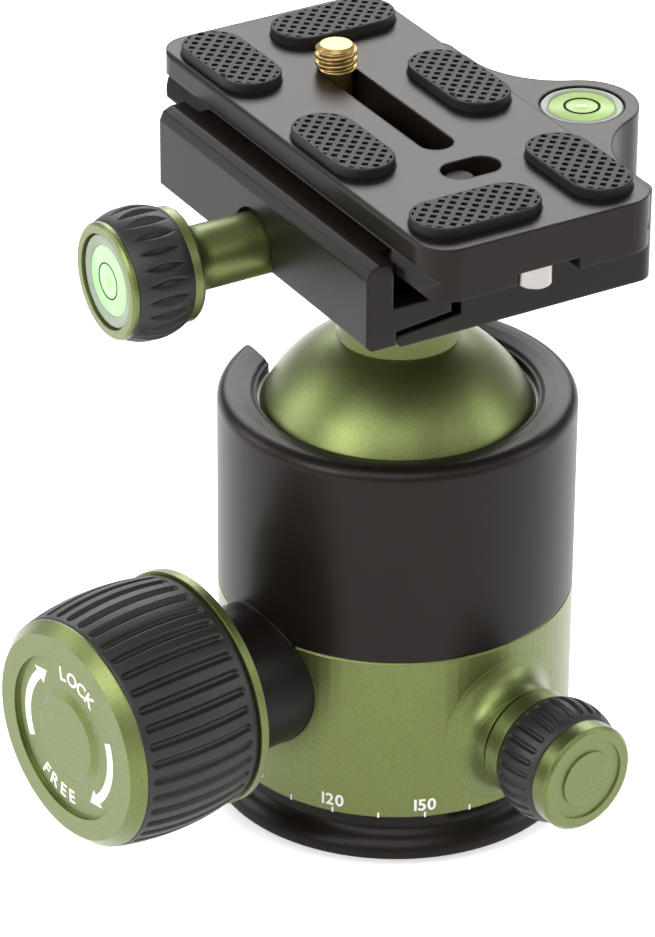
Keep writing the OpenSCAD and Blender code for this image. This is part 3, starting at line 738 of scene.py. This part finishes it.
screw = {
    "neckRadius": 2.45 * mm,
    "headRadius": 5.5 * mm,
    "headHeight": 2.0 * mm,
    "crest": 3.17 * mm,
    "root": 2.55 * mm,
    "pitch": 1.27 * mm,
    "tipRadius": 2.35 * mm,
    "tipHeight": 0.75 * mm,
    "tipEdge": 0.12 * mm,
    "ridge": (1.375, 0.1),   # how steep the ridge is, and how much of it is cut off flat
    "fade": 0.5,             # pitches until the ridge has its full height
    "length": 4.1 * mm,      # the threaded length
    "gap": 0.05 * mm,        # between the neck's last row and the thread's first
    "slotWidth": 1.6 * mm,
    "slotDepth": 1.0 * mm,
    "slotTurn": math.radians(-98),
    "edge": 0.3 * mm,
    "sides": 96,
    "steps": 82,
}


def cameraScrew():
    low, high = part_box("camera_screw")
    place = Matrix.Translation(((low[0] + high[0]) / 2, (low[1] + high[1]) / 2, 0))
    bottom, top = low[2], high[2]
    neck = top - screw["length"]
    head, edge = bottom + screw["headHeight"], screw["edge"]
    wide, slim = screw["headRadius"], screw["neckRadius"]
    outline = [(0.01 * mm, bottom), (wide - edge, bottom), (wide, bottom + edge), (wide, head),
               (slim, head), (slim, neck - screw["gap"])]
    rows = [roundRow(radius, height, screw["sides"]) for radius, height in outline]
    steep, flat = screw["ridge"]

    def threaded(height):
        row = []
        for i in range(screw["sides"]):
            turn = math.tau * i / screw["sides"]
            phase = ((height - neck) / screw["pitch"] - turn / math.tau) % 1
            ridge = ease(steep * (1 - abs(2 * phase - 1)) - flat)
            fade = ease((height - neck) / (screw["fade"] * screw["pitch"]))
            radius = screw["root"] + (screw["crest"] - screw["root"]) * ridge * fade
            toTop = (top - height) / screw["tipHeight"]
            if toTop < 1:
                radius = min(radius, screw["tipRadius"] + (screw["crest"] - screw["tipRadius"]) * toTop)
            row.append((radius * math.cos(turn), radius * math.sin(turn), height))
        rows.append(row)

    for i in range(screw["steps"] + 1):
        threaded(neck + (top - neck) * i / screw["steps"])
    rows.append(roundRow(screw["tipRadius"] - screw["tipEdge"], top, screw["sides"]))
    rows.append(roundRow(0.01 * mm, top, screw["sides"]))
    mesh = closeUp(gridMesh("cameraScrew", rows, False, True), 0.02 * mm, 50)
    cutter = bpy.data.meshes.new("slotCutter")
    work = bmesh.new()
    bmesh.ops.create_cube(work, size=1)
    work.to_mesh(cutter)
    work.free()
    cutter.transform(Matrix.Translation((0, 0, bottom)) @ Matrix.Rotation(screw["slotTurn"], 4, "Z")
                     @ Matrix.Diagonal((20 * mm, screw["slotWidth"], 2 * screw["slotDepth"], 1)))
    mesh = carved(mesh, cutter)
    mesh.transform(place)
    addPiece("cameraScrew", closeUp(mesh, 0, 50), "brass", "camera_screw", ["camera_screw"])


cameraScrew()


# levels: clear body, coloured liquid, printed ring and bubble

levels = {
    "earLevel": {
        "node": "ear_level", "body": "clamp", "place": Matrix.Translation((0, 0, 0)),
        "radius": 6.3 * mm, "liquid": 5.0 * mm, "liquidTop": 0.05 * mm, "liquidDepth": 3.0 * mm,
        "ring": 2.6 * mm, "line": 0.38 * mm, "bubble": 1.2 * mm, "colour": "level_liquid",
    },
    "knobLevel": {
        "node": "knob_level", "body": "clamp_knob", "place": clampKnobPlace,
        "radius": 7.05 * mm, "liquid": 5.3 * mm, "liquidTop": 0.05 * mm, "liquidDepth": 3.0 * mm,
        "ring": 2.7 * mm, "line": 0.18 * mm, "bubble": 1.1 * mm, "colour": "mint_liquid",
    },
}

levelShape = {
    "foot": 0.3 * mm,                     # the body's lower edge
    "rim": 0.25 * mm,                     # its upper one
    "mouth": (0.2 * mm, 0.15 * mm),       # the bevel round the liquid, outwards and down
    "cup": (0.8 * mm, 0.5 * mm),          # the liquid's lower edge, inwards and up
    "shore": (0.3 * mm, 0.2 * mm),        # its upper one, inwards and down
    "clearance": (0.05 * mm, 0.02 * mm),  # the liquid inside the body, low and high
    "ink": (0.03 * mm, 0.02 * mm),        # the ring's under and upper side, from the top
    "bubbleSink": 0.05 * mm,
    "bubbleHeight": 0.22 * mm,            # from its middle
}


def turnedMesh(name, outline, sides=72):
    # a closed solid of revolution about z from (radius, height) points, first and last on the axis
    rows = [roundRow(max(radius, 0.0001 * mm), height, sides) for radius, height in outline]
    return closeUp(gridMesh(name, rows, False, True), 0.001 * mm)


def ringMesh(name, section, sides=72):
    # a closed ring about z from its section's (radius, height) points
    rows = [roundRow(radius, height, sides) for radius, height in section]
    return closeUp(gridMesh(name, rows, True, True))


def levelPieces(name, level):
    low, high = spanIn(level["place"], level["node"])
    place = level["place"] @ Matrix.Translation(((low.x + high.x) / 2, (low.y + high.y) / 2, 0))
    bottom, top, radius = low.z, high.z, level["radius"]
    wet, roof = level["liquid"], top - level["liquidTop"]
    edge, rim = levelShape["foot"], levelShape["rim"]
    outwards, down = levelShape["mouth"]
    body = ringMesh(name + "Body", [
        (wet, bottom), (radius - edge, bottom), (radius, bottom + edge), (radius, top - rim),
        (radius - rim, top), (wet + outwards, top), (wet, top - down)], 96)
    floor = roof - level["liquidDepth"]
    inwards, up = levelShape["cup"]
    shoreIn, shoreDown = levelShape["shore"]
    lowGap, highGap = levelShape["clearance"]
    liquid = turnedMesh(name + "Liquid", [
        (0, floor), (wet - inwards, floor), (wet - lowGap, floor + up), (wet - highGap, roof - shoreDown),
        (wet - shoreIn, roof), (0, roof)])
    inner, outer = level["ring"] - level["line"] / 2, level["ring"] + level["line"] / 2
    under, over = top - levelShape["ink"][0], top + levelShape["ink"][1]
    ring = ringMesh(name + "Ring", [(inner, under), (outer, under), (outer, over), (inner, over)])
    size, sink, tall = level["bubble"], levelShape["bubbleSink"], levelShape["bubbleHeight"]
    turns = [math.radians(15 * i) for i in range(13)]
    bubble = turnedMesh(name + "Bubble", [
        (size * math.sin(turn), roof - sink - tall * math.cos(turn)) for turn in turns])
    parts = [("Body", body, "acrylic", None), ("Liquid", liquid, level["colour"], "level_liquid"),
             ("Ring", ring, "print_black", None), ("Bubble", bubble, "bubble", None)]
    for part, mesh, finish, slot in parts:
        mesh.transform(place)
        addPiece(name + part, mesh, finish, level["body"], [level["node"]] if part == "Body" else ())


for name, level in levels.items():
    levelPieces(name, level)
print("levels:", len(levels))


# stop pins with a softened lower edge

stopPin = {"radius": 2.65 * mm, "edge": 0.35 * mm}


def makeStopPins():
    low, high = spanIn(headPlace, "stop_pins")
    reach, edge = stopPin["radius"], stopPin["edge"]
    outline = [(0, low.z)] + [(reach - edge + edge * math.sin(math.radians(22.5 * i)),
                               low.z + edge - edge * math.cos(math.radians(22.5 * i))) for i in range(5)]
    outline += [(reach, high.z), (0, high.z)]
    pins = []
    for side in (-1, 1):
        pin = turnedMesh("stopPin", outline)
        pin.transform(headPlace @ Matrix.Translation((side * (high.x - reach), 0, 0)))
        pins.append(pin)
    addPiece("stopPins", closeUp(joinMeshes("stopPins", pins)), "silver", "plate", ["stop_pins"])


makeStopPins()


# the foot's cone under the flange, and the slot between the jaw's tongue and the clamp's lip

foot = {
    "run": 3.3 * mm, "rise": 1.8 * mm,       # the cone's width and height
    "edge": 0.09 * mm,                       # how far the cone's top stays inside the flange's side
    "beyond": 2 * mm, "under": 0.5 * mm,     # how far the cutter reaches past the flange
}
lipSlot = {
    "nose": 18.5 * mm, "root": 8 * mm,       # across, from the clamp's middle
    "top": 2.1 * mm, "rise": 1.1 * mm,       # the lip's top over the clamp's underside, and its climb
    "length": 60 * mm, "depth": 0.45 * mm,
    "beyond": 1 * mm,                        # how far the cutter reaches past the nose
}


def recut(node, cutter, sharp):
    # a merged copy of a node with a tool cut out of it, to stand in its place
    return closeUp(carved(closeUp(nodes[node].data.copy(), 0.0005 * mm, sharp), cutter), 0, sharp)


def makeFoot():
    low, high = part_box("base_plate")
    inner, outer = high[0] - foot["run"], high[0] + foot["beyond"]
    shoulder, under = low[2] + foot["rise"], low[2] - foot["under"]
    cutter = ringMesh("footCutter", [
        (inner, low[2]), (high[0] - foot["edge"], shoulder), (outer, shoulder), (outer, under),
        (inner, under)], 192)
    addPiece("footedBase", recut("base_plate", cutter, 30), "black_anodised", "base", ["base_plate"])


def makeLipSlot():
    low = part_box("clamp_base")[0]
    top, half = low[2] + lipSlot["top"], lipSlot["length"] / 2
    nose, root, depth, inner = -lipSlot["nose"], -lipSlot["root"], lipSlot["depth"], top + lipSlot["rise"]
    beyond = nose - lipSlot["beyond"]
    section = [(beyond, top), (nose, top), (root, inner), (root, inner - depth), (beyond, top - depth)]
    cutter = blockMesh("slotCutter", [[(x, y, z) for y, z in section] for x in (-half, half)])
    cutter.transform(headPlace)
    addPiece("lippedClamp", recut("clamp_base", cutter, 2), "black_anodised", "clamp", ["clamp_base"])


makeFoot()
makeLipSlot()
print("recut: foot and lip")


# fillets where a round boss runs into the round housing

fillets = {
    "panBossFillet": {
        "place": panPlace, "boss": 8.0 * mm, "drum": 27.0 * mm, "radius": 4.0 * mm, "skin": 0.6 * mm,
        "body": "housing", "finish": "green_anodised",
    },
}


def filletMesh(name, fillet):
    # a ball of the fillet's radius rolls round the boss and touches the drum, whose axis is the place's y
    boss, drum, ball, skin = fillet["boss"], fillet["drum"], fillet["radius"], fillet["skin"]
    columns = []
    turns = 96
    for i in range(turns):
        turn = math.tau * i / turns
        side, up = (boss + ball) * math.cos(turn), (boss + ball) * math.sin(turn)
        centre = Vector((side, up, math.sqrt((drum + ball) ** 2 - side ** 2)))
        toBoss = Vector((-math.cos(turn), -math.sin(turn), 0))
        toDrum = Vector((-centre.x, 0, -centre.z)).normalized()
        section = []
        for j in range(11):
            section.append(centre + toBoss.slerp(toDrum, j / 10) * ball)
        section.append(section[-1] + toDrum * skin)
        section.append(Vector((math.cos(turn) * (boss - skin), math.sin(turn) * (boss - skin), 0)))
        section[-1].z = math.sqrt(drum ** 2 - section[-1].x ** 2) - skin
        section.append(section[0] + toBoss * skin)
        columns.append(section)
    return closeUp(gridMesh(name, columns, True, True), 0, 50)


for name, fillet in fillets.items():
    mesh = filletMesh(name, fillet)
    mesh.transform(fillet["place"])
    addPiece(name, mesh, fillet["finish"], fillet["body"], ())
print("fillets:", len(fillets))


# printing: letters and arrows on the main knob, marks round the dial

prints = {
    "face": 61.45 * mm,        # the floor of the knob's ring
    "skin": 0.02 * mm,
    "letterHeight": 2.15 * mm,
    "letterRadius": 10.2 * mm,
    "lock": [("L", 97), ("O", 84), ("C", 71), ("K", 58)],
    "free": [("F", 236), ("R", 248.5), ("E", 261), ("E", 273)],
    "bold": 0.022,             # how far a stroke is thickened, as a share of the type size
    "arrows": [(205, 121), (20, -60)],
    "shaft": (9.5 * mm, 10.9 * mm),
    "head": (8.7 * mm, 11.7 * mm),
    "headLength": 2.4 * mm,
    "dialRadius": 27.0 * mm,
    "dialTurn": 1.2,           # degrees
    "tick": (8.45 * mm, 9.35 * mm, 0.3 * mm),
    "numeralHeight": 1.95 * mm,
    "numeralBase": 9.7 * mm,
    "numeralGap": 0.22 * mm,
}


def rawLetter(text):
    # one flat character of type size 1
    curve = bpy.data.curves.new("letter", "FONT")
    curve.body = text
    curve.size = 1
    curve.extrude = 0.5
    curve.offset = prints["bold"]
    holder = bpy.data.objects.new("letterHolder", curve)
    bpy.context.scene.collection.objects.link(holder)
    bpy.context.view_layer.update()
    graph = bpy.context.evaluated_depsgraph_get()
    mesh = bpy.data.meshes.new_from_object(holder.evaluated_get(graph), depsgraph=graph)
    bpy.data.objects.remove(holder)
    return mesh


capHeight = max(vertex.co.y for vertex in rawLetter("E").vertices)


def letterMesh(text, height):
    # its foot on y = 0 and its middle on x = 0, a little thick in z; also gives its width
    mesh = rawLetter(text)
    left, right = min(vertex.co.x for vertex in mesh.vertices), max(vertex.co.x for vertex in mesh.vertices)
    scale = height / capHeight
    middle = Matrix.Translation((-(left + right) / 2, 0, 0))
    mesh.transform(Matrix.Diagonal((scale, scale, prints["skin"], 1)) @ middle)
    return mesh, (right - left) * scale


def faceLetters(marks, inwards):
    meshes = []
    for text, angle in marks:
        mesh = letterMesh(text, prints["letterHeight"])[0]
        foot = prints["letterRadius"] + (0.5 if inwards else -0.5) * prints["letterHeight"]
        spin = Matrix.Rotation(math.radians(90 if inwards else -90), 4, "Z")
        turn = Matrix.Rotation(math.radians(angle), 4, "Z")
        mesh.transform(turn @ Matrix.Translation((foot, 0, prints["face"])) @ spin)
        meshes.append(mesh)
    return meshes


def arrowMesh(tail, head):
    inner, outer = prints["shaft"]
    middle = (inner + outer) / 2
    back = math.radians(head) + math.copysign(prints["headLength"] / middle, tail - head)
    start, steps = math.radians(tail), 24
    outline = []
    for i in range(steps + 1):
        outline.append((outer, start + (back - start) * i / steps))
    outline += [(prints["head"][1], back), (middle, math.radians(head)), (prints["head"][0], back)]
    for i in range(steps, -1, -1):
        outline.append((inner, start + (back - start) * i / steps))
    rings = []
    for side in (-0.5, 0.5):
        height = prints["face"] + side * prints["skin"]
        rings.append([(r * math.cos(a), r * math.sin(a), height) for r, a in outline])
    return blockMesh("arrow", rings)


def knobPrint():
    meshes = faceLetters(prints["lock"], False) + faceLetters(prints["free"], True)
    meshes += [arrowMesh(tail, head) for tail, head in prints["arrows"]]
    mesh = closeUp(joinMeshes("knobPrint", meshes), 0.001 * mm)
    mesh.transform(mainPlace)
    addPiece("knobPrint", mesh, "print_white", "main_knob")


def dialPrint():
    meshes = []
    bottom, top, width = prints["tick"]

    def onDial(mesh, value):
        # value is the dial's own number; x turns into an angle round the drum
        for vertex in mesh.vertices:
            turn = math.radians(90 + prints["dialTurn"] + value) + vertex.co.x / prints["dialRadius"]
            radius = prints["dialRadius"] + vertex.co.z
            vertex.co = (radius * math.cos(turn), radius * math.sin(turn), vertex.co.y)
        meshes.append(mesh)

    for value in range(0, 360, 15):
        corners = [(-width / 2, bottom), (width / 2, bottom), (width / 2, top), (-width / 2, top)]
        layers = [[(x, y, z) for x, y in corners] for z in (-prints["skin"], prints["skin"])]
        onDial(blockMesh("tick", layers), value)
        if value % 30 == 0:
            signs = [letterMesh(sign, prints["numeralHeight"]) for sign in str(value)]
            whole = sum(size for mesh, size in signs) + prints["numeralGap"] * (len(signs) - 1)
            at = -whole / 2
            for mesh, size in signs:
                mesh.transform(Matrix.Translation((at + size / 2, prints["numeralBase"], 0)))
                at += size + prints["numeralGap"]
                onDial(mesh, value)
    addPiece("dialPrint", closeUp(joinMeshes("dialPrint", meshes), 0.001 * mm), "print_white", "housing")


knobPrint()
dialPrint()
print("printing: knob and dial")
